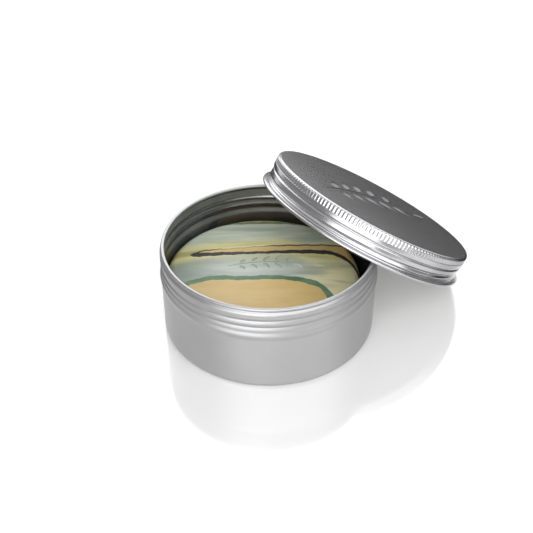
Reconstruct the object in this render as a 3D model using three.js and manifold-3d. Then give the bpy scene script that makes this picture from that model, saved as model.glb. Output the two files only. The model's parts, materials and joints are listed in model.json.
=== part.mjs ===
// A round marbled shaving soap in a threaded aluminium travel tin, with the screw lid leaning on the rim.
// Millimetres, +Z up. The origin is the centre of the tin's flat underside, and the lid leans towards +X.
import * as THREE from "three";
import { mergeVertices } from "three/addons/utils/BufferGeometryUtils.js";
import Module from "manifold-3d";

const { PI, cos, sin } = Math;
const DEG = PI / 180;

// Driving dimensions.
const SHEET = 0.5; // aluminium sheet thickness
const BEAD_R = 0.7; // radius of the curled edge on both the rim and the hem
const THREAD_PITCH = 2.9;
const RUNNING_GAP = 0.3; // clearance between pieces that touch on the real object
const SEGMENTS = 60;
const THREADED_FROM = 35; // radius outside which a wall takes the thread

const TIN = { wallR: 41.5, shoulderR: 41.9, rimR: 40.34, height: 36.6, cornerR: 1.9 };
const TIN_THREAD = { depth: 0.55, phase: 29.48, low: 26.6, high: 32.6 };

const LID = { topR: 43.5, hemR: 44.9, threadR: 43.2, waistR: 42.6, height: 12.1, cornerR: 1.2 };
const LID_THREAD = { depth: 0.6, phase: 4.5, low: 2.2, high: 5.9 };
const LID_TILT = 31.93 * DEG; // the top panel faces up and away from the tin
const LID_CENTRE = new THREE.Vector3(46.38, 4.18, 23.57); // centre of the hem's plane
const LINER = { r: 41.6, thickness: 1.8 };

const SOAP = { r: 38, power: 2.13, edgeHeight: 21.5, crown: 0.9, topRound: 3.4, bottomRound: 4.5 };
const SOAP_TURN = -31.13 * DEG; // direction in which the strata run across the puck
const SOAP_PLACE = new THREE.Vector3(-1.87, 1.13, SHEET + RUNNING_GAP);
const STRATA_GAP = 0.3;

// Materials.
const finish = (color, roughness, metalness) =>
  new THREE.MeshStandardMaterial({ color, roughness, metalness });
const aluminium = finish(0xbfc0c1, 0.35, 1);
const foam = finish(0xf2f2ee, 0.9, 0);
const tanSoap = finish(0xcdb273, 0.6, 0);
const greenSoap = finish(0x5a7d5f, 0.6, 0);
const celadonSoap = finish(0xb4beaf, 0.6, 0);
const charcoalSoap = finish(0x2d2d2d, 0.6, 0);
const oliveSoap = finish(0xc8c382, 0.6, 0);
const greySoap = finish(0xa6ae98, 0.6, 0);

// Points of an arc about (x, y), from one angle to another, both in degrees.
function arc(x, y, radius, from, to, steps) {
  return Array.from({ length: steps + 1 }, (_, i) => {
    const a = (from + ((to - from) * i) / steps) * DEG;
    return [x + radius * cos(a), y + radius * sin(a)];
  });
}

// Heights from low to high in even steps.
function levels(low, high, steps) {
  return Array.from({ length: steps + 1 }, (_, i) => low + ((high - low) * i) / steps);
}

const smooth = (low, high, value) => THREE.MathUtils.smoothstep(value, low, high);

// Depth of a right-handed rolled thread at a height and an angle: narrow grooves between broad round bands.
function grooveDepth(thread, height, angle) {
  const offset = height - thread.phase - (THREAD_PITCH * angle) / (2 * PI);
  const across = offset - THREAD_PITCH * Math.round(offset / THREAD_PITCH);
  const centre = height - across;
  const run = smooth(thread.low, thread.low + 0.7, centre) * (1 - smooth(thread.high - 0.7, thread.high, centre));
  return thread.depth * run * (1 - Math.abs(sin((PI * across) / THREAD_PITCH)));
}

// Turns a profile of [radius, height] points about Z and presses the thread into its thin wall.
function turned(profile, thread) {
  const geometry = new THREE.LatheGeometry(profile.map(([r, h]) => new THREE.Vector2(r, h)), SEGMENTS);
  geometry.rotateX(PI / 2);
  if (thread) {
    const place = geometry.attributes.position;
    for (let i = 0; i < place.count; i++) {
      const r = Math.hypot(place.getX(i), place.getY(i));
      if (r < THREADED_FROM) continue;
      const k = 1 - grooveDepth(thread, place.getZ(i), Math.atan2(place.getY(i), place.getX(i))) / r;
      place.setXY(i, place.getX(i) * k, place.getY(i) * k);
    }
  }
  return geometry;
}

function node(name, geometry, material) {
  const mesh = new THREE.Mesh(geometry, material);
  mesh.name = name;
  return mesh;
}

// The tin's body: flat base, straight wall, shoulder bead, threaded neck and curled rim.
function tinBase() {
  const { wallR, shoulderR, rimR, height, cornerR } = TIN;
  const rimZ = height - BEAD_R;
  const wall = [
    ...arc(wallR - cornerR, cornerR, cornerR, -90, 0, 4),
    [wallR, 22.4],
    [shoulderR - 0.15, 23.3],
    [shoulderR, 24.6],
    [shoulderR - 0.15, 25.6],
    [wallR, 26.3],
  ];
  const thread = levels(26.9, 33.3, 11).map((z) => [wallR, z]);
  const neck = [
    [wallR - 0.15, 34.3],
    [wallR - 0.75, 34.95],
  ];
  const outside = [...wall, ...thread, ...neck];
  const rim = arc(rimR, rimZ, BEAD_R, -65, 235, 8);
  const inside = outside
    .slice(5)
    .reverse()
    .map(([r, z]) => [r - SHEET, z]);
  const floorArc = arc(wallR - cornerR, cornerR, cornerR - SHEET, 0, -90, 3);
  const profile = [[0, 0], ...outside, ...rim, ...inside, ...floorArc, [0, SHEET]];
  return node("tin_base", turned(profile, TIN_THREAD), aluminium);
}

// The lid's shell in its own frame: hem at height 0, flat top panel at LID.height.
function lidShell() {
  const { topR, hemR, threadR, waistR, height, cornerR } = LID;
  const skirt = [
    [waistR + 0.2, 1.9],
    ...levels(2.4, 5.9, 6).map((z) => [threadR, z]),
    [waistR, 6.6],
    [topR - 0.2, 7.3],
    [topR, 7.8],
  ];
  const hem = arc(hemR - BEAD_R, BEAD_R, BEAD_R, 190, 460, 8);
  const corner = arc(topR - cornerR, height - cornerR, cornerR, 0, 90, 3);
  const inside = [
    [0, height - SHEET],
    ...arc(topR - cornerR, height - cornerR, cornerR - SHEET, 90, 0, 2),
    ...[...skirt].reverse().map(([r, z]) => [r - SHEET, z]),
    [waistR + 0.3, 1.2],
  ];
  const outside = [[waistR + 0.9, 1.6], ...skirt, ...corner, [0, height]];
  return node("lid_shell", turned([...inside, ...hem, ...outside], LID_THREAD), aluminium);
}

// The foam wad under the lid's top panel.
function lidLiner() {
  const top = LID.height - SHEET - RUNNING_GAP;
  const geometry = new THREE.CylinderGeometry(LINER.r, LINER.r, LINER.thickness, SEGMENTS);
  geometry.rotateX(PI / 2).translate(0, 0, top - LINER.thickness / 2);
  return node("lid_liner", geometry, foam);
}

// The whole soap puck, before it is parted into its strata. Its plan is a superellipse, a slightly squared circle.
function puckGeometry() {
  const { r, power, edgeHeight, crown, topRound, bottomRound } = SOAP;
  const top = edgeHeight - SOAP_PLACE.z;
  const dome = [0.75, 0.4].map((k) => [k * (r - topRound), top + crown * cos((k * PI) / 2)]);
  const profile = [
    [0, 0],
    ...arc(r - bottomRound, bottomRound, bottomRound, -90, 0, 4),
    ...arc(r - topRound, top - topRound, topRound, 0, 90, 4),
    ...dome,
    [0, top + crown],
  ];
  const geometry = turned(profile);
  const place = geometry.attributes.position;
  for (let i = 0; i < place.count; i++) {
    const [x, y] = [place.getX(i), place.getY(i)];
    const angle = Math.atan2(y, x);
    const k = (Math.abs(cos(angle)) ** power + Math.abs(sin(angle)) ** power) ** (-1 / power);
    place.setXY(i, x * k, y * k);
  }
  return geometry;
}

// Boundaries between the soap's strata, seen from above, in the puck's own frame (left to right).
const spline = (points, count) =>
  new THREE.SplineCurve(points.map(([x, y]) => new THREE.Vector2(x, y))).getPoints(count);
const BORDERS = {
  tanToGreen: spline(
    [[-42, -15], [-29.7, -9.1], [-20, -5.7], [-7.8, -5.9], [6.4, -5.5], [17.5, -8.1], [23.1, -13.2], [28, -32]],
    32,
  ),
  greenToCore: spline(
    [[-42, -12], [-30.2, -6.6], [-20, -3], [-7.8, -3.5], [4.3, -3], [16.5, -4.6], [22.6, -8.1], [26.4, -14.2], [33, -30]],
    34,
  ),
  seam: spline([[-42, 8.4], [-35, 9.8], [-29.1, 10.6]], 5),
  coreToCharcoal: spline(
    [[-29.1, 10.6], [-26, 9.8], [-15, 10.4], [0.3, 11.2], [14.5, 11.6], [26.7, 11.2], [32.3, 7.6], [36.3, 1], [38.6, -9]],
    30,
  ),
  charcoalToTan: spline(
    [[-29.1, 10.6], [-25.5, 12.4], [-16, 12.6], [-1.8, 12.8], [12.5, 14], [23.6, 14.2], [29.7, 12.4], [35.3, 6.1], [39.8, -6]],
    30,
  ),
  tanToOlive: spline(
    [[-25.8, 12.9], [-22, 14.2], [-12.9, 14.9], [2.3, 16.6], [17.5, 17.5], [30.7, 17.3], [42, 12]],
    24,
  ),
  oliveToGrey: spline([[-42, 12], [-31, 18.5], [-20, 22], [-5, 23], [10, 23.5], [25, 22.5], [42, 17]], 20),
  greyToGreen: spline([[-30, 31], [-14, 32.6], [0, 33.2], [14, 32.8], [30, 31]], 12),
  greenToTan: spline([[-30, 33], [-14, 34.2], [0, 34.8], [14, 34.4], [30, 33]], 12),
};

// Points outside the puck that close the outlines of the first and the last stratum, left to right.
const CORNERS = {
  front: [new THREE.Vector2(-42, -45), new THREE.Vector2(42, -45)],
  back: [new THREE.Vector2(-30, 45), new THREE.Vector2(30, 45)],
};

// A closed outline from one border forwards and another backwards.
const between = (low, high) => [...low, ...[...high].reverse()];

// A thin ribbon along a border, as wide as the gap between two strata.
function ribbonOutline(border) {
  const sideways = border.map((point, i) => {
    const along = new THREE.Vector2().subVectors(
      border[Math.min(i + 1, border.length - 1)],
      border[Math.max(i - 1, 0)],
    );
    return new THREE.Vector2(-along.y, along.x).setLength(STRATA_GAP / 2);
  });
  const left = border.map((point, i) => point.clone().add(sideways[i]));
  const right = border.map((point, i) => point.clone().sub(sideways[i]));
  return between(right, left);
}

const wasm = await Module();
wasm.setup();

// three.js geometry to a manifold solid and back.
function solid(geometry) {
  const bare = geometry.clone();
  bare.deleteAttribute("normal");
  bare.deleteAttribute("uv");
  const merged = mergeVertices(bare, 1e-4);
  const triVerts = new Uint32Array(merged.index.array);
  return new wasm.Manifold(
    new wasm.Mesh({ numProp: 3, vertProperties: new Float32Array(merged.attributes.position.array), triVerts }),
  );
}

function geometryOf(manifold) {
  const mesh = manifold.getMesh();
  const geometry = new THREE.BufferGeometry();
  geometry.setAttribute("position", new THREE.BufferAttribute(new Float32Array(mesh.vertProperties), 3));
  geometry.setIndex(new THREE.BufferAttribute(new Uint32Array(mesh.triVerts), 1));
  geometry.computeVertexNormals();
  return geometry;
}

function column(outline) {
  const geometry = new THREE.ExtrudeGeometry(new THREE.Shape(outline), { depth: 30, bevelEnabled: false });
  return solid(geometry.translate(0, 0, -2));
}

// The puck's strata: differently coloured soaps pressed into one puck.
function soapStrata() {
  const b = BORDERS;
  const foldedCore = [...b.seam, ...b.coreToCharcoal.slice(1)];
  const foldedOlive = [...b.seam, ...b.charcoalToTan.slice(1, 4), ...b.tanToOlive];
  const strata = [
    ["soap_tan_front", between(b.tanToGreen, CORNERS.front), tanSoap],
    ["soap_green_vein_front", between(b.tanToGreen, b.greenToCore), greenSoap],
    ["soap_pale_core", between(b.greenToCore, foldedCore), celadonSoap],
    ["soap_charcoal_vein", between(b.coreToCharcoal, b.charcoalToTan.slice(1)), charcoalSoap],
    ["soap_tan_streak", between(b.charcoalToTan.slice(4), b.tanToOlive), tanSoap],
    ["soap_olive_layer", between(foldedOlive, b.oliveToGrey), oliveSoap],
    ["soap_grey_back", between(b.oliveToGrey, b.greyToGreen), greySoap],
    ["soap_green_vein_back", between(b.greyToGreen, b.greenToTan), greenSoap],
    ["soap_tan_back", between(b.greenToTan, CORNERS.back), tanSoap],
  ];
  const cuts = Object.values(b).map((border) => column(ribbonOutline(border)));
  const parted = cuts.reduce((rest, cut) => rest.subtract(cut), solid(puckGeometry()));
  return strata.map(([name, outline, material]) =>
    node(name, geometryOf(parted.intersect(column(outline))), material),
  );
}

const lid = new THREE.Group();
lid.position.copy(LID_CENTRE);
lid.rotation.y = LID_TILT;
lid.add(lidShell(), lidLiner());

const soap = new THREE.Group();
soap.position.copy(SOAP_PLACE);
soap.rotation.z = SOAP_TURN;
soap.add(...soapStrata());

const part = new THREE.Group();
part.add(tinBase(), soap, lid);

export default part;
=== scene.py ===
import json
import math

import bpy
import numpy as np
from mathutils import Matrix, Vector


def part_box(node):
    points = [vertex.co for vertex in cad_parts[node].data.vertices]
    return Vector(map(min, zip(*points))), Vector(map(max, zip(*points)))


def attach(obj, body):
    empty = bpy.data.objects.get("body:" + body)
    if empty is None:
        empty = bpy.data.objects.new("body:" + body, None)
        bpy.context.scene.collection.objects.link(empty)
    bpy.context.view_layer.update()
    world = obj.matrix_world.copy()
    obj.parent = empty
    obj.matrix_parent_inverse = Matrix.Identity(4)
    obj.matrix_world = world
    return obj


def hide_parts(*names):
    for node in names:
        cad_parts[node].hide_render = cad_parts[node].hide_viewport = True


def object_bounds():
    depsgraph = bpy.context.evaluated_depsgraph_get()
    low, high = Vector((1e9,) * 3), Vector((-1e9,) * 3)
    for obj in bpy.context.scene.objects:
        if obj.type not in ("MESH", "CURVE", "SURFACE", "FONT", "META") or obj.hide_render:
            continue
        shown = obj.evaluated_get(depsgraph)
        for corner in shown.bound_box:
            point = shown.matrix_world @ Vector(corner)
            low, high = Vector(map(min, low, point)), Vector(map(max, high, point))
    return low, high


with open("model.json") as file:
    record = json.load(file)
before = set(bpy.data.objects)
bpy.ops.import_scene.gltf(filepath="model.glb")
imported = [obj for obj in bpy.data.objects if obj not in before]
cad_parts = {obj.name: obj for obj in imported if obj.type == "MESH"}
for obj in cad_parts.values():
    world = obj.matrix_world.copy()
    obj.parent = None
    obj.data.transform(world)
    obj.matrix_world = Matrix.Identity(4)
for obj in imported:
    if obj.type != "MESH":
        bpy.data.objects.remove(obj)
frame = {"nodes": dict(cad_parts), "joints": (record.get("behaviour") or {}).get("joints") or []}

cad_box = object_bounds()
MM = 0.001

# ---------------------------------------------------------------- driving dimensions, in millimetres
tin_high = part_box("tin_base")[1]
SHOULDER_R = tin_high.x / MM
TIN_HEIGHT = tin_high.z / MM
WALL_R = SHOULDER_R - 0.4
NECK_R = WALL_R
RIM_R = SHOULDER_R - 1.56  # centre of the rolled rim
CORNER_R = 1.9
SHOULDER_BEAD = (22.2, 24.7, 26.4)  # heights of the rolled bead's foot, crest and top
FOOT_RING = (33.6, 36.0)  # radii of the stiffening ring pressed into the underside
FOOT_GROOVE = 0.3  # its depth
SHEET = 0.5
BEAD_R = 0.7
THREAD_PITCH = 2.9
TIN_THREAD = {"depth": 0.45, "phase": 29.48, "low": 26.6, "high": 32.6}
LID_THREAD = {"depth": 0.6, "phase": 4.5, "low": 2.2, "high": 5.9}

LID_HEIGHT = 12.1
LID_TOP_R = 43.5
LID_HEM_R = 44.9
LID_THREAD_R = 43.2
LID_WAIST_R = 42.6  # the annular groove above the thread, and the neck above the hem
LID_CORNER_R = 1.2
FLUTES = 180
FLUTE_DEPTH = 0.22
FLUTE_LOW = 9.0
FLUTE_HIGH = 11.85
EMBLEM_DEPTH = 0.3  # of the sprig pressed into the top panel
LINER_R = 41.6
LINER_THICKNESS = 1.8
LINER_GAP = 0.3

STRATA = {name: node for name, node in frame["nodes"].items() if name.startswith("soap_")}
soap_corners = [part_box(name) for name in STRATA]
SOAP_LOW = Vector(tuple(min(low[i] for low, _ in soap_corners) / MM for i in range(3)))
SOAP_HIGH = Vector(tuple(max(high[i] for _, high in soap_corners) / MM for i in range(3)))
SOAP_CENTRE = (SOAP_LOW + SOAP_HIGH) / 2
SOAP_R = 38.0
STAMP_DEPTH = 0.75  # of the sprig pressed into the soap, below the crown
SOAP_POWER = 2.13  # the plan is a superellipse, a slightly squared circle
VIEW_TURN = math.radians(-31.13)  # the strata run straight across the camera's view
SOAP_FOOT = Vector((SOAP_CENTRE.x, SOAP_CENTRE.y, SOAP_LOW.z)) * MM
SOAP_PLACE = Matrix.Translation(SOAP_FOOT) @ Matrix.Rotation(VIEW_TURN, 4, "Z")

lid_joint = next(joint for joint in frame["joints"] if joint["name"] == "lid_turn")
LID_TILT = math.atan2(lid_joint["axis"][0], lid_joint["axis"][2])
LID_PLACE = Matrix.Translation(Vector(lid_joint["pos_m"])) @ Matrix.Rotation(LID_TILT, 4, "Y")


# ---------------------------------------------------------------- mesh helpers
def arc(x, y, radius, start, stop, steps):
    angles = np.radians(np.linspace(start, stop, steps + 1))
    return [(x + radius * math.cos(a), y + radius * math.sin(a)) for a in angles]


def rounded(points, reach, steps=4):
    """A polyline whose inner corners are eased with quadratic curves that begin reach away from them."""
    points = [np.array(p, float) for p in points]
    out = [tuple(points[0])]
    for before, corner, after in zip(points, points[1:], points[2:]):
        start = corner + (before - corner) * min(0.5, reach / np.linalg.norm(before - corner))
        stop = corner + (after - corner) * min(0.5, reach / np.linalg.norm(after - corner))
        for t in np.linspace(0, 1, steps + 1):
            out.append(tuple((1 - t) ** 2 * start + 2 * t * (1 - t) * corner + t * t * stop))
    out.append(tuple(points[-1]))
    return out


def dense(points, step):
    """The same polyline with points added so that no stretch is longer than step."""
    out = [points[0]]
    for a, b in zip(points, points[1:]):
        pieces = max(1, math.ceil(math.dist(a, b) / step))
        out += [tuple(np.array(a) + (np.array(b) - np.array(a)) * k / pieces) for k in range(1, pieces + 1)]
    return out


def smoothstep(low, high, value):
    t = np.clip((value - low) / (high - low), 0, 1)
    return t * t * (3 - 2 * t)


def groove(thread, height, angle):
    """Depth of a right-handed rolled thread: narrow grooves between broad rounded bands."""
    offset = height - thread["phase"] - THREAD_PITCH * angle / (2 * math.pi)
    across = offset - THREAD_PITCH * np.round(offset / THREAD_PITCH)
    centre = height - across
    run = smoothstep(thread["low"], thread["low"] + 0.7, centre)
    run = run * (1 - smoothstep(thread["high"] - 0.7, thread["high"], centre))
    wave = np.sqrt(np.sin(math.pi * across / THREAD_PITCH) ** 2 + 0.008)
    return thread["depth"] * run * (1 - np.minimum(wave, 1))


def new_object(name, vertices, faces):
    mesh = bpy.data.meshes.new(name)
    mesh.from_pydata(vertices, [], faces)
    mesh.polygons.foreach_set("use_smooth", [True] * len(mesh.polygons))
    mesh.update()
    piece = bpy.data.objects.new(name, mesh)
    bpy.context.scene.collection.objects.link(piece)
    return piece


def revolve(name, profile, columns, shaped=None):
    """Turns a profile of (radius, height) in millimetres about Z; shaped(r, z, angle) may change r."""
    angles = np.arange(columns) * 2 * math.pi / columns
    vertices, rows = [], []
    for r, z in profile:
        first = len(vertices)
        if r < 1e-6:
            vertices.append((0.0, 0.0, z * MM))
            rows.append([first] * columns)
            continue
        radii = shaped(r, z, angles) if shaped else np.full(columns, r)
        ring = np.stack([radii * np.cos(angles), radii * np.sin(angles), np.full(columns, z)], 1) * MM
        vertices += [tuple(v) for v in ring]
        rows.append(list(range(first, first + columns)))
    faces = []
    for low, high in zip(rows, rows[1:]):
        for j in range(columns):
            k = (j + 1) % columns
            corners = (low[j], low[k], high[k], high[j])
            faces.append(tuple(dict.fromkeys(corners)))
    return new_object(name, vertices, faces)


# ---------------------------------------------------------------- material helpers
def linear(red, green, blue):
    """An sRGB colour, 0 to 255, as the linear RGBA that shaders take."""
    shares = (red / 255, green / 255, blue / 255)
    return tuple(c / 12.92 if c <= 0.04045 else ((c + 0.055) / 1.055) ** 2.4 for c in shares) + (1,)


class Nodes:
    """A material's node tree, with short calls for the nodes used here."""

    def __init__(self, name):
        self.material = bpy.data.materials.new(name)
        self.material.use_nodes = True
        self.tree = self.material.node_tree
        self.shader = self.tree.nodes["Principled BSDF"]

    def add(self, kind, inputs=None, **settings):
        node = self.tree.nodes.new(kind)
        for key, value in settings.items():
            setattr(node, key, value)
        for key, value in (inputs or {}).items():
            self.feed(node.inputs[key], value)
        return node

    def feed(self, socket, value):
        if isinstance(value, bpy.types.NodeSocket):
            self.tree.links.new(value, socket)
        else:
            socket.default_value = value

    def math(self, operation, a, b=0.0):
        return self.add("ShaderNodeMath", {0: a, 1: b}, operation=operation).outputs[0]

    def mix(self, factor, a, b):
        node = self.add("ShaderNodeMix", data_type="RGBA")
        for socket, value in ((0, factor), (6, a), (7, b)):
            self.feed(node.inputs[socket], value)
        return node.outputs[2]

    def ramp(self, value, low, high, start=0.0, stop=1.0):
        inputs = {"Value": value, "From Min": low, "From Max": high, "To Min": start, "To Max": stop}
        return self.add("ShaderNodeMapRange", inputs, interpolation_type="SMOOTHSTEP").outputs["Result"]

    def place(self, frame_of_piece=Matrix.Identity(4)):
        """Coordinates in millimetres in a piece's own frame, such as the tilted lid's."""
        back = frame_of_piece.inverted()
        inputs = {
            "Vector": self.add("ShaderNodeTexCoord").outputs["Object"],
            "Location": back.to_translation() / MM,
            "Rotation": tuple(back.to_euler()),
            "Scale": (1 / MM,) * 3,
        }
        return self.add("ShaderNodeMapping", inputs, vector_type="POINT").outputs[0]

    def stretched(self, vector, stretch, shift=(0, 0, 0)):
        inputs = {"Vector": vector, "Scale": stretch, "Location": shift}
        return self.add("ShaderNodeMapping", inputs, vector_type="POINT").outputs[0]

    def noise(self, vector, scale, detail=3.0, roughness=0.55, swirl=0.0):
        inputs = {"Vector": vector, "Scale": scale, "Detail": detail, "Roughness": roughness}
        return self.add("ShaderNodeTexNoise", inputs | {"Distortion": swirl}).outputs["Fac"]

    def bump(self, height, distance, strength=1.0):
        inputs = {"Height": height, "Distance": distance, "Strength": strength}
        return self.add("ShaderNodeBump", inputs).outputs["Normal"]

    def set(self, **values):
        for key, value in values.items():
            self.feed(self.shader.inputs[key.replace("_", " ")], value)
        return self.material


# ---------------------------------------------------------------- metal
def spun_lines(nodes, place):
    """Fine turning lines that run round the axis: bands of height on a wall, rings of radius on a flat."""
    split = nodes.add("ShaderNodeSeparateXYZ", {0: place})
    x, y, z = split.outputs
    radius = nodes.math("SQRT", nodes.math("ADD", nodes.math("MULTIPLY", x, x), nodes.math("MULTIPLY", y, y)))
    across = nodes.math("ADD", z, radius)
    angle = nodes.math("ARCTAN2", y, x)
    drift = nodes.math("MULTIPLY", nodes.math("SINE", angle), 0.4)
    vector = nodes.add("ShaderNodeCombineXYZ", {0: across, 1: drift, 2: 0.0})
    return nodes.noise(vector.outputs[0], 5.5, 4.0, 0.7)


def aluminium(name, tone, roughness, frame_of_piece=Matrix.Identity(4)):
    """Satin aluminium with very faint turning lines."""
    nodes = Nodes(name)
    place = nodes.place(frame_of_piece)
    lines = spun_lines(nodes, place)
    cloud = nodes.noise(place, 0.05, 2.0, 0.5)
    rough = nodes.math("ADD", nodes.math("MULTIPLY", nodes.math("SUBTRACT", lines, 0.5), 0.03), roughness)
    dull = tuple(c * 0.95 for c in tone[:3]) + (1,)
    colour = nodes.mix(nodes.ramp(cloud, 0.3, 0.7), dull, tone)
    return nodes.set(Base_Color=colour, Metallic=1.0, Roughness=rough, Normal=nodes.bump(lines, 0.00000015))


def lacquer_inside(name, frame_of_piece=Matrix.Identity(4)):
    """The darker lacquer on the inner faces of the tin and the lid."""
    nodes = Nodes(name)
    place = nodes.place(frame_of_piece)
    lines = spun_lines(nodes, place)
    cloud = nodes.noise(place, 0.09, 3.0, 0.6)
    colour = nodes.mix(nodes.ramp(cloud, 0.3, 0.7), linear(128, 128, 129), linear(142, 142, 143))
    rough = nodes.math("ADD", nodes.math("MULTIPLY", lines, 0.1), 0.2)
    return nodes.set(Base_Color=colour, Metallic=0.9, Roughness=rough, Normal=nodes.bump(lines, 0.000005))


# ---------------------------------------------------------------- tin and lid
def shoulder_bulge(z):
    """The rolled bead that stands proud of the wall just below the thread."""
    foot, crest, top = SHOULDER_BEAD
    rise = smoothstep(foot, crest, z)
    fall = 1 - smoothstep(crest, top, z)
    return (SHOULDER_R - WALL_R) * rise * fall


def tin_base():
    wall = arc(WALL_R - CORNER_R, CORNER_R, CORNER_R, -90, 0, 10)
    neck = [(WALL_R, z) for z in np.arange(3.0, 34.0, 0.14)]
    under_rim = rounded([(NECK_R, 34.0), (NECK_R - 0.25, 34.55), (NECK_R - 0.85, 35.1)], 0.4)
    outside = wall + neck + under_rim
    rim = arc(RIM_R, TIN_HEIGHT - BEAD_R, BEAD_R, -52, 232, 20)
    inside = [(r - SHEET, z) for r, z in reversed(neck + under_rim)]
    floor = arc(WALL_R - CORNER_R, CORNER_R, CORNER_R - SHEET, 0, -90, 8)
    near, far = FOOT_RING
    ring = rounded([(near, 0), (near + 0.7, FOOT_GROOVE), (far - 0.7, FOOT_GROOVE), (far, 0)], 0.3)
    base = [(0, 0), (10, 0), (30, 0), *ring]
    dish = rounded([(far, SHEET), (far - 1.4, SHEET + 0.22), (0.5, SHEET + 0.22)], 0.8)
    profile = base + outside + rim + inside + floor + dish + [(0, SHEET + 0.22)]

    def shaped(r, z, angle):
        if r < 37 or z > TIN_HEIGHT - 2 * BEAD_R:
            return np.full(len(angle), r)
        return r + shoulder_bulge(z) - groove(TIN_THREAD, z, angle)

    piece = revolve("tin_base_visual", profile, 256, shaped)
    outer_rows = len(base + outside + rim) - 4
    metal = aluminium("tin_aluminium", linear(179, 179, 180), 0.44)
    paint_rows(piece, 256, outer_rows, [metal, lacquer_inside("tin_lacquer")])
    finish_piece(piece, "tin", ["tin_base"])


def paint_rows(piece, columns, split, materials):
    """Gives the first material to the profile rows before split, and the second to the rest."""
    for material in materials:
        piece.data.materials.append(material)
    index = [0 if i < split * columns else 1 for i in range(len(piece.data.polygons))]
    piece.data.polygons.foreach_set("material_index", index)


def finish_piece(piece, body, nodes):
    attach(piece, body)
    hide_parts(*nodes)


def lid_shell():
    thread_r, waist_r = LID_THREAD_R, LID_WAIST_R
    foot = rounded([(waist_r + 0.3, 1.6), (waist_r + 0.1, 1.95), (thread_r, 2.4), (thread_r, 2.7)], 0.35)
    skirt = foot + [(thread_r, z) for z in np.arange(2.8, 5.7, 0.14)]
    step_up = [(thread_r, 5.7), (thread_r, 6.2), (waist_r, 6.65), (LID_TOP_R, 7.2), (LID_TOP_R, 8.2)]
    shoulder = rounded(step_up, 0.45)
    upper = [(LID_TOP_R, z) for z in np.arange(8.3, 10.9, 0.12)]
    corner = arc(LID_TOP_R - LID_CORNER_R, LID_HEIGHT - LID_CORNER_R, LID_CORNER_R, 0, 90, 12)
    panel = [(r, LID_HEIGHT) for r in (41.9, 41.0, 39, 30, 15)]
    hem = arc(LID_HEM_R - BEAD_R, BEAD_R, BEAD_R, 200, 455, 20)
    flare = rounded([(LID_HEM_R - BEAD_R - 0.25, 1.5), (waist_r + 0.8, 1.5), (waist_r + 0.3, 1.6)], 0.2)
    outside = flare[:-1] + skirt + shoulder + upper + corner + panel
    inner_wall = [(r - SHEET, z) for r, z in reversed(skirt + shoulder + upper)]
    inner_top = arc(LID_TOP_R - LID_CORNER_R, LID_HEIGHT - LID_CORNER_R, LID_CORNER_R - SHEET, 90, 0, 5)
    ceiling = LID_HEIGHT - SHEET
    inside = [(0, ceiling), (20, ceiling)] + inner_top + inner_wall + [(waist_r + 0.3, 1.1)]
    profile = inside + hem + outside + [(0, LID_HEIGHT)]
    columns = FLUTES * 6

    def shaped(r, z, angle):
        out = np.full(len(angle), r)
        if 1.9 <= z <= 6.2:
            out = out - groove(LID_THREAD, z, angle)
        if r > LID_TOP_R - 0.9 and z > 8.0:
            start = smoothstep(FLUTE_LOW, FLUTE_LOW + 0.25, z)
            stop = 1 - smoothstep(FLUTE_HIGH - 0.35, FLUTE_HIGH, z)
            tooth = 0.5 - 0.5 * np.cos(angle * FLUTES)
            out = out - FLUTE_DEPTH * start * stop * tooth**1.4
        return out

    plain = revolve("lid_plain", profile, columns, shaped)
    inner_rows = len(inside) + 2
    metal = aluminium("lid_aluminium", linear(192, 192, 194), 0.23, LID_PLACE)
    paint_rows(plain, columns, inner_rows, [lacquer_inside("lid_lacquer", LID_PLACE), metal])
    plain.data.materials.append(aluminium("lid_etched", linear(160, 160, 162), 0.38, LID_PLACE))
    emblem = prisms(sprig((0, 0), 56, 5, 11.0), LID_HEIGHT - EMBLEM_DEPTH, LID_HEIGHT + 1)
    for material in plain.data.materials:
        emblem.data.materials.append(material)
    emblem.data.polygons.foreach_set("material_index", [2] * len(emblem.data.polygons))
    piece = cut(plain, emblem, "lid_shell_visual", "DIFFERENCE")
    bpy.data.objects.remove(plain)
    piece.data.transform(LID_PLACE)
    finish_piece(piece, "lid", ["lid_shell"])


def lid_liner():
    top = LID_HEIGHT - SHEET - LINER_GAP
    low = top - LINER_THICKNESS
    ring = rounded([(39.6, low), (38.8, low + 0.25), (37.6, low + 0.25), (36.8, low)], 0.3)
    face = [(0, low), (20, low)] + ring[::-1]
    edge = rounded([(LINER_R - 0.5, low), (LINER_R, low), (LINER_R, top), (LINER_R - 0.5, top)], 0.25)
    piece = revolve("lid_liner_visual", face + edge + [(20, top), (0, top)], 192)
    nodes = Nodes("liner_foam")
    place = nodes.place(LID_PLACE)
    cells = nodes.add("ShaderNodeTexVoronoi", {"Vector": place, "Scale": 2.6}).outputs["Distance"]
    cloud = nodes.noise(place, 0.15)
    colour = nodes.mix(nodes.ramp(cloud, 0.3, 0.7), linear(226, 225, 218), linear(240, 240, 236))
    # Painted shade: the foam is darker in the pits at the cell centres, the same pits that the cell bump
    # makes.
    shade = nodes.mix(nodes.ramp(cells, 0.0, 0.5), linear(205, 204, 198), colour)
    piece.data.materials.append(
        nodes.set(Base_Color=shade, Roughness=0.75, Normal=nodes.bump(cells, 0.00008), Subsurface_Weight=0.1)
    )
    piece.data.transform(LID_PLACE)
    finish_piece(piece, "lid_insert", ["lid_liner"])


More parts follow.
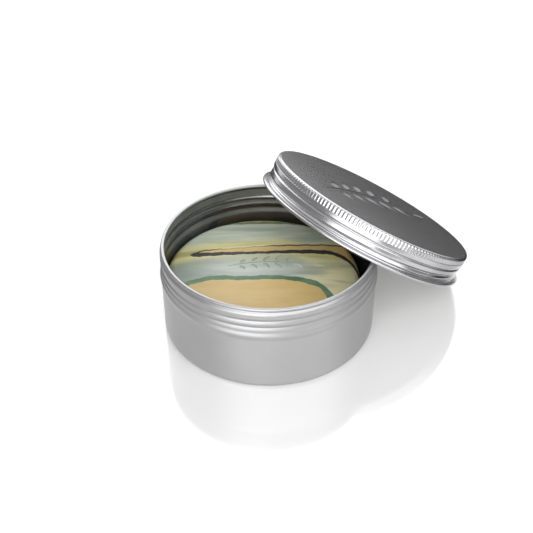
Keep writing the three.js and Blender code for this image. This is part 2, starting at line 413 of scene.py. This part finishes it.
# ---------------------------------------------------------------- soap
def spline(points, count, seed=None):
    """A Catmull-Rom curve through points in the puck's plan, in millimetres, with a slight waver."""
    p = np.array([points[0], *points, points[-1]], float)
    out = []
    for k in np.linspace(0, len(points) - 1, count + 1):
        i = min(int(k), len(points) - 2)
        t = k - i
        a, b, c, d = p[i : i + 4]
        bend, twist = 2 * a - 5 * b + 4 * c - d, 3 * b - a - 3 * c + d
        out.append(0.5 * (2 * b + (c - a) * t + bend * t**2 + twist * t**3))
    out = np.array(out)
    if seed is not None:
        waver = 0.16 * np.sin(out[:, 0] * 0.9 + seed) + 0.1 * np.sin(out[:, 0] * 2.3 + 2.1 * seed)
        out[1:-1, 1] += waver[1:-1]
    return out


BORDERS = {
    "tan_to_green": spline(
        [(-42, -15), (-29.7, -9.1), (-20, -5.7), (-7.8, -5.9)]
        + [(6.4, -5.5), (17.5, -8.1), (23.1, -13.2), (28, -32)],
        90, 1.0,
    ),
    "green_to_core": spline(
        [(-42, -12), (-30.2, -6.6), (-20, -3), (-7.8, -3.5)]
        + [(4.3, -3), (16.5, -4.6), (22.6, -8.1), (26.4, -14.2), (33, -30)],
        90, 2.0,
    ),
    "seam": spline([(-42, 8.4), (-35, 9.8), (-29.1, 10.6)], 12),
    "core_to_charcoal": spline(
        [(-29.1, 10.6), (-26, 9.8), (-15, 10.4), (0.3, 11.2)]
        + [(14.5, 11.6), (26.7, 11.2), (32.3, 7.6), (36.3, 1), (38.6, -9)],
        90, 3.0,
    ),
    "charcoal_to_tan": spline(
        [(-25.5, 12.4), (-16, 12.6), (-1.8, 12.8), (12.5, 14)]
        + [(23.6, 14.2), (29.7, 12.4), (35.3, 6.1), (39.8, -6)],
        90, 4.0,
    ),
    "tan_to_olive": spline(
        [(-25.8, 12.9), (-22, 14.2), (-12.9, 14.9), (2.3, 16.6), (17.5, 17.5), (30.7, 17.3), (42, 12)],
        80, 5.0,
    ),
    "olive_to_grey": spline(
        [(-42, 12), (-31, 18.5), (-20, 22), (-5, 23), (10, 23.5), (25, 22.5), (42, 17)], 60
    ),
    "grey_to_green": spline([(-30, 31), (-14, 32.6), (0, 33.2), (14, 32.8), (30, 31)], 30, 6.0),
    "green_to_tan": spline([(-30, 33), (-14, 34.2), (0, 34.8), (14, 34.4), (30, 33)], 30, 7.0),
}


def offset(border, widths):
    along = np.gradient(border, axis=0)
    sideways = np.stack([-along[:, 1], along[:, 0]], 1)
    sideways /= np.linalg.norm(sideways, axis=1)[:, None]
    return border + sideways * np.asarray(widths)[:, None]


def soap_outlines():
    """Plan outlines of the strata, which share their borders."""
    b = BORDERS
    far_left, far_right = [(-42, -45)], [(42, -45)]
    hair = b["tan_to_olive"]
    u = hair[:, 0]
    width = 0.10 + 0.28 * (1 - smoothstep(-24, -13, u)) + 0.3 * smoothstep(-2, 6, u)
    hair_low, hair_high = offset(hair, -width), offset(hair, width)
    tip = np.array([(-26.6, 12.9), (-28.2, 12.2), (-29.3, 11.2)])
    charcoal = [b["core_to_charcoal"], b["charcoal_to_tan"][::-1], hair_low, hair_high[::-1], tip]
    return {
        "soap_tan_front": [b["tan_to_green"], far_right, far_left],
        "soap_green_vein_front": [b["tan_to_green"], b["green_to_core"][::-1]],
        "soap_pale_core": [b["green_to_core"], b["core_to_charcoal"][::-1], b["seam"][::-1][1:]],
        "soap_charcoal_vein": charcoal,
        "soap_tan_streak": [b["charcoal_to_tan"], hair_low[::-1]],
        "soap_olive_layer": [b["seam"], tip[::-1], hair_high, b["olive_to_grey"][::-1]],
        "soap_grey_back": [b["olive_to_grey"], b["grey_to_green"][::-1]],
        "soap_green_vein_back": [b["grey_to_green"], b["green_to_tan"][::-1]],
        "soap_tan_back": [b["green_to_tan"], [(30, 45), (-30, 45)]],
    }


def prisms(outlines, low, high):
    """Columns over plan outlines, from one height to another, for cutting."""
    vertices, faces = [], []
    for ring in outlines:
        first, count = len(vertices), len(ring)
        vertices += [(x * MM, y * MM, z * MM) for z in (low, high) for x, y in ring]
        lower = [first + i for i in range(count)]
        upper = [first + count + i for i in range(count)]
        faces += [tuple(reversed(lower)), tuple(upper)]
        faces += [(lower[i - 1], lower[i], upper[i], upper[i - 1]) for i in range(count)]
    return new_object("cutter", vertices, faces)


def leaf(root, angle, length, width):
    """A pointed leaf's outline, anticlockwise from its root."""
    along = np.linspace(0, 1, 13)
    side = width / 2 * np.sin(math.pi * along**0.85)
    x = np.concatenate([along, along[-2:0:-1]]) * length
    y = np.concatenate([-side, side[-2:0:-1]])
    turn = np.array([[math.cos(angle), math.sin(angle)], [-math.sin(angle), math.cos(angle)]])
    return [tuple(p) for p in np.stack([x, y], 1) @ turn + np.array(root)]


def sprig(centre, length, pairs, size):
    """A plain leaf sprig laid along x: a gently bowed stem, pairs of leaves and one leaf at the tip."""
    left = centre[0] - length / 2

    def stem(t):
        return np.array([left + t * length, centre[1] + 0.6 * size * math.sin(math.pi * t)])

    spine = [stem(t) for t in np.linspace(0, 0.93, 25)]
    half = 0.055 * size
    outlines = [[(x, y - half) for x, y in spine] + [(x, y + half) for x, y in reversed(spine)]]
    for k in range(pairs):
        t = 0.12 + 0.76 * k / pairs
        reach = size * (1 - 0.35 * abs(2 * t - 1))
        for side in (-1, 1):
            root = stem(t) + np.array([0.12, side * 0.16]) * size
            outlines.append(leaf(root, side * math.radians(52), reach, 0.34 * size))
    outlines.append(leaf(stem(0.96), 0.0, 0.8 * size, 0.3 * size))
    return outlines


def puck():
    """The whole soap, hand-pressed: domed top, soft edges and a very slight unevenness."""
    height = SOAP_HIGH.z - SOAP_LOW.z
    crown, top_round, low_round = 0.9, 3.4, 4.5
    top = height - crown
    inner = SOAP_R - top_round
    dome = [(inner * k, top + crown * math.cos(k * math.pi / 2)) for k in np.linspace(0.97, 0.03, 22)]
    profile = [(0, 0), (12, 0), (24, 0)]
    profile += arc(SOAP_R - low_round, low_round, low_round, -90, 0, 9)
    profile += dense([(SOAP_R, low_round + 1), (SOAP_R, top - top_round - 1)], 3)
    profile += arc(inner, top - top_round, top_round, 0, 90, 12) + dome + [(0, top + crown)]

    def shaped(r, z, angle):
        swell = np.sin(3 * angle + 0.7) + 0.6 * np.sin(5 * angle + 2.0) + 0.4 * np.sin(8 * angle + 4.0)
        across, ahead = np.abs(np.cos(angle)) ** SOAP_POWER, np.abs(np.sin(angle)) ** SOAP_POWER
        squared = (across + ahead) ** (-1 / SOAP_POWER)
        return r * squared * (1 - 0.0012 * (2 + swell) * (z / height))

    return revolve("puck", profile, 180, shaped)


def cut(source, cutter, name, operation="INTERSECT"):
    """A new piece: source cut with cutter, which is used up."""
    piece = source.copy()
    piece.data = source.data.copy()
    piece.name = name
    bpy.context.scene.collection.objects.link(piece)
    modifier = piece.modifiers.new("cut", "BOOLEAN")
    modifier.operation = operation
    modifier.solver = "EXACT"
    modifier.object = cutter
    bpy.context.view_layer.update()
    evaluated = piece.evaluated_get(bpy.context.evaluated_depsgraph_get())
    mesh = bpy.data.meshes.new_from_object(evaluated)
    piece.modifiers.clear()
    piece.data = mesh
    mesh.name = name
    mesh.set_sharp_from_angle(angle=math.radians(40))
    bpy.data.objects.remove(cutter)
    return piece


def soap_material(name, body, streak, mottle, blend=0.5):
    """Waxy soap with soft strokes drawn out along the strata. body, streak and mottle are sRGB colours."""
    nodes = Nodes(name)
    place = nodes.place(SOAP_PLACE)
    fine = nodes.noise(nodes.stretched(place, (0.05, 0.3, 0.2)), 1.0, 4.0, 0.55, 0.8)
    broad = nodes.noise(nodes.stretched(place, (0.03, 0.1, 0.05), shift=(3, 7, 0)), 1.0, 3.0, 0.5, 1.2)
    speck = nodes.noise(place, 1.6, 3.0, 0.6)
    colour = nodes.mix(nodes.ramp(fine, 0.35, 0.68, 0, blend), linear(*body), linear(*streak))
    colour = nodes.mix(nodes.ramp(broad, 0.4, 0.65, 0, blend), colour, linear(*mottle))
    colour = nodes.mix(nodes.ramp(speck, 0.55, 0.8, 0, 0.15), colour, linear(*(c * 0.85 for c in body)))
    return waxy(nodes, place, colour)


def waxy(nodes, place, colour):
    pits = nodes.noise(place, 1.1, 4.0, 0.6)
    grain = nodes.noise(place, 6.0, 2.0, 0.6)
    relief = nodes.math("ADD", nodes.math("MULTIPLY", pits, 1.0), nodes.math("MULTIPLY", grain, 0.25))
    rough = nodes.math("ADD", nodes.math("MULTIPLY", pits, 0.2), 0.38)
    return nodes.set(
        Base_Color=colour, Roughness=rough, Normal=nodes.bump(relief, 0.00012, 0.6),
        Subsurface_Weight=0.15, Subsurface_Radius=(0.0016, 0.0012, 0.0007), Subsurface_Scale=1.0,
    )


def pale_material(name):
    """The pale strata share one colour field, so that celadon, olive and grey run softly into one another."""
    nodes = Nodes(name)
    place = nodes.place(SOAP_PLACE)
    warp = nodes.noise(nodes.stretched(place, (0.035, 0.08, 0.05)), 1.0, 4.0, 0.55, 1.0)
    split = nodes.add("ShaderNodeSeparateXYZ", {0: place})
    u, v = split.outputs[0], split.outputs[1]
    v = nodes.math("ADD", v, nodes.math("MULTIPLY", nodes.math("SUBTRACT", warp, 0.5), 8.0))
    u = nodes.math("ADD", u, nodes.math("MULTIPLY", nodes.math("SUBTRACT", warp, 0.5), 22.0))
    bent = nodes.math("ADD", v, nodes.math("MULTIPLY", nodes.math("MULTIPLY", u, u), 0.005))
    fine = nodes.noise(nodes.stretched(place, (0.05, 0.26, 0.2), shift=(5, 2, 0)), 1.0, 3.0, 0.5, 0.6)
    pale = nodes.mix(nodes.ramp(fine, 0.35, 0.7), linear(178, 190, 182), linear(200, 206, 197))
    pale = nodes.mix(nodes.ramp(bent, 4.0, 9.0, 0, 0.7), pale, linear(188, 189, 156))
    # Towards the right the core turns a light khaki: partly its own colour, partly painted light that lifts
    # the shadow the lid casts there. Towards the left it darkens to a grey green.
    pale = nodes.mix(nodes.ramp(u, 8.0, 26.0, 0, 0.9), pale, linear(238, 233, 186))
    pale = nodes.mix(nodes.ramp(u, -10.0, -32.0, 0, 0.85), pale, linear(150, 163, 150))
    olive = nodes.mix(nodes.ramp(fine, 0.3, 0.7), linear(212, 208, 150), linear(226, 218, 148))
    grey = nodes.mix(nodes.ramp(fine, 0.3, 0.7), linear(184, 196, 178), linear(204, 211, 194))
    colour = nodes.mix(nodes.ramp(bent, 9.0, 14.0), pale, olive)
    colour = nodes.mix(nodes.ramp(bent, 18.5, 24.0), colour, grey)
    smoke = nodes.noise(nodes.stretched(place, (0.028, 0.13, 0.1), shift=(11, 4, 0)), 1.0, 2.5, 0.45, 0.5)
    colour = nodes.mix(nodes.ramp(smoke, 0.48, 0.72, 0, 0.5), colour, linear(126, 139, 133))
    leaning = nodes.math("ADD", nodes.math("MULTIPLY", u, -0.18), nodes.math("SUBTRACT", v, 17.0))
    tip = nodes.ramp(nodes.math("ABSOLUTE", leaning), 3.0, 0.5)
    dusk = nodes.math("MULTIPLY", nodes.math("MULTIPLY", tip, nodes.ramp(u, -19.0, -25.0)), 0.5)
    colour = nodes.mix(dusk, colour, linear(96, 98, 78))
    return waxy(nodes, place, colour)


def soap():
    tan = soap_material("tan_soap", (216, 188, 126), (206, 174, 108), (220, 194, 138))
    green = soap_material("green_soap", (92, 128, 100), (122, 152, 122), (68, 102, 80), 0.7)
    charcoal = soap_material("charcoal_soap", (46, 46, 46), (70, 68, 64), (32, 32, 34))
    pale = pale_material("pale_soap")
    looks = {
        "soap_tan_front": (tan, "tan_soap"),
        "soap_green_vein_front": (green, "green_soap"),
        "soap_pale_core": (pale, "celadon_soap"),
        "soap_charcoal_vein": (charcoal, "charcoal_soap"),
        "soap_tan_streak": (tan, "streak_soap"),
        "soap_olive_layer": (pale, "olive_soap"),
        "soap_grey_back": (pale, "grey_soap"),
        "soap_green_vein_back": (green, "green_soap"),
        "soap_tan_back": (tan, "tan_soap"),
    }
    plain = puck()
    top = SOAP_HIGH.z - SOAP_LOW.z
    stamp = prisms(sprig((4.0, 3.2), 36, 6, 4.6), top - STAMP_DEPTH, top + 5)
    whole = cut(plain, stamp, "stamped", "DIFFERENCE")
    bpy.data.objects.remove(plain)
    for name, outline in soap_outlines().items():
        ring = [tuple(p) for part in outline for p in part]
        piece = cut(whole, prisms([ring], -3, 30), name + "_visual")
        material, slot = looks[name]
        piece.data.materials.append(material)
        piece.data.transform(SOAP_PLACE)
        finish_piece(piece, "soap", [name])
    bpy.data.objects.remove(whole)


# ---------------------------------------------------------------- studio
def studio_point(right, ahead, up):
    """A point given in metres to the right of, ahead of and above the tin's foot, as the camera sees it."""
    return Matrix.Rotation(VIEW_TURN, 4, "Z") @ Vector((right, ahead, up))


def camera():
    elevation, distance = math.radians(37.09), 0.3562
    aim = studio_point(-0.0009, 0.0057, 0.020)
    data = bpy.data.cameras.new("camera")
    data.lens = 60.83
    data.sensor_width = 36.0
    eye = bpy.data.objects.new("camera", data)
    bpy.context.scene.collection.objects.link(eye)
    back = studio_point(0, -math.cos(elevation), math.sin(elevation))
    eye.location = aim + back * distance
    eye.rotation_euler = (math.pi / 2 - elevation, 0, VIEW_TURN)
    bpy.context.scene.camera = eye


def softbox(name, place, target, width, height, power):
    data = bpy.data.lights.new(name, "AREA")
    data.shape = "RECTANGLE"
    data.size, data.size_y = width, height
    data.energy = power
    light = bpy.data.objects.new(name, data)
    bpy.context.scene.collection.objects.link(light)
    light.location = studio_point(*place)
    aim = studio_point(*target) - light.location
    light.rotation_euler = aim.to_track_quat("-Z", "Y").to_euler()
    light.visible_camera = False


def floor():
    """A glossy white sheet, which mirrors the tin and the lid faintly."""
    half = 2.5
    corners = [(-half, -half, 0), (half, -half, 0), (half, half, 0), (-half, half, 0)]
    sheet = new_object("floor", corners, [(0, 1, 2, 3)])
    nodes = Nodes("floor")
    sheet.data.materials.append(
        nodes.set(
            Base_Color=(0.82, 0.82, 0.82, 1), Metallic=0.18, Roughness=0.11,
            Emission_Color=(1, 1, 1, 1), Emission_Strength=0.09,
        )
    )


def card(name, corners, strength):
    """A glowing card seen only in reflections, and only from its front. Corners are in metres."""
    nodes = Nodes(name)
    glow = nodes.add("ShaderNodeEmission", {"Color": (1, 1, 1, 1), "Strength": strength})
    clear = nodes.add("ShaderNodeBsdfTransparent")
    behind = nodes.add("ShaderNodeNewGeometry").outputs["Backfacing"]
    both = nodes.add("ShaderNodeMixShader", {0: behind, 1: glow.outputs[0], 2: clear.outputs[0]})
    nodes.tree.links.new(both.outputs[0], nodes.tree.nodes["Material Output"].inputs["Surface"])
    sheet = new_object(name, corners, [tuple(range(len(corners)))])
    sheet.data.materials.append(nodes.material)
    sheet.visible_camera = False
    sheet.visible_diffuse = False
    sheet.visible_shadow = False


def cards():
    """The bright backdrop, and the dark sheet that lies round the lid's far side and dims its panel."""
    ahead, low, high, half = 1.5, 0.1, 2.9, 1.8
    outline = ((-half, low), (half, low), (half, high), (-half, high))
    backdrop = [studio_point(u, ahead, z) for u, z in outline]
    card("backdrop", backdrop, 2.2)
    past_x, past_y, edge, height = cad_box[1][0] + 0.002, cad_box[1][1] + 0.002, 0.32, 0.004
    plan = [(past_x, -0.1), (edge, -0.1), (edge, edge), (-0.1, edge), (-0.1, past_y), (past_x, past_y)]
    card("dark_sheet", [(x, y, height) for x, y in plan], 0.04)


def studio():
    floor()
    cards()
    softbox("overhead", (-0.1, 0.25, 1.3), (0, 0, 0), 2.2, 1.8, 6.2)
    softbox("front", (0.25, -0.86, 0.72), (0, 0, 0.02), 2.4, 1.15, 17.5)
    softbox("low_left", (-0.32, -0.84, 0.20), (0.03, 0.02, 0.03), 0.9, 0.34, 2.6)
    world = bpy.data.worlds.new("studio")
    bpy.context.scene.world = world
    world.use_nodes = True
    background = world.node_tree.nodes["Background"]
    background.inputs["Color"].default_value = (1, 1, 1, 1)
    background.inputs["Strength"].default_value = 0.32
    bpy.context.scene.view_settings.view_transform = "Standard"


camera()
tin_base()
lid_shell()
lid_liner()
soap()
studio()
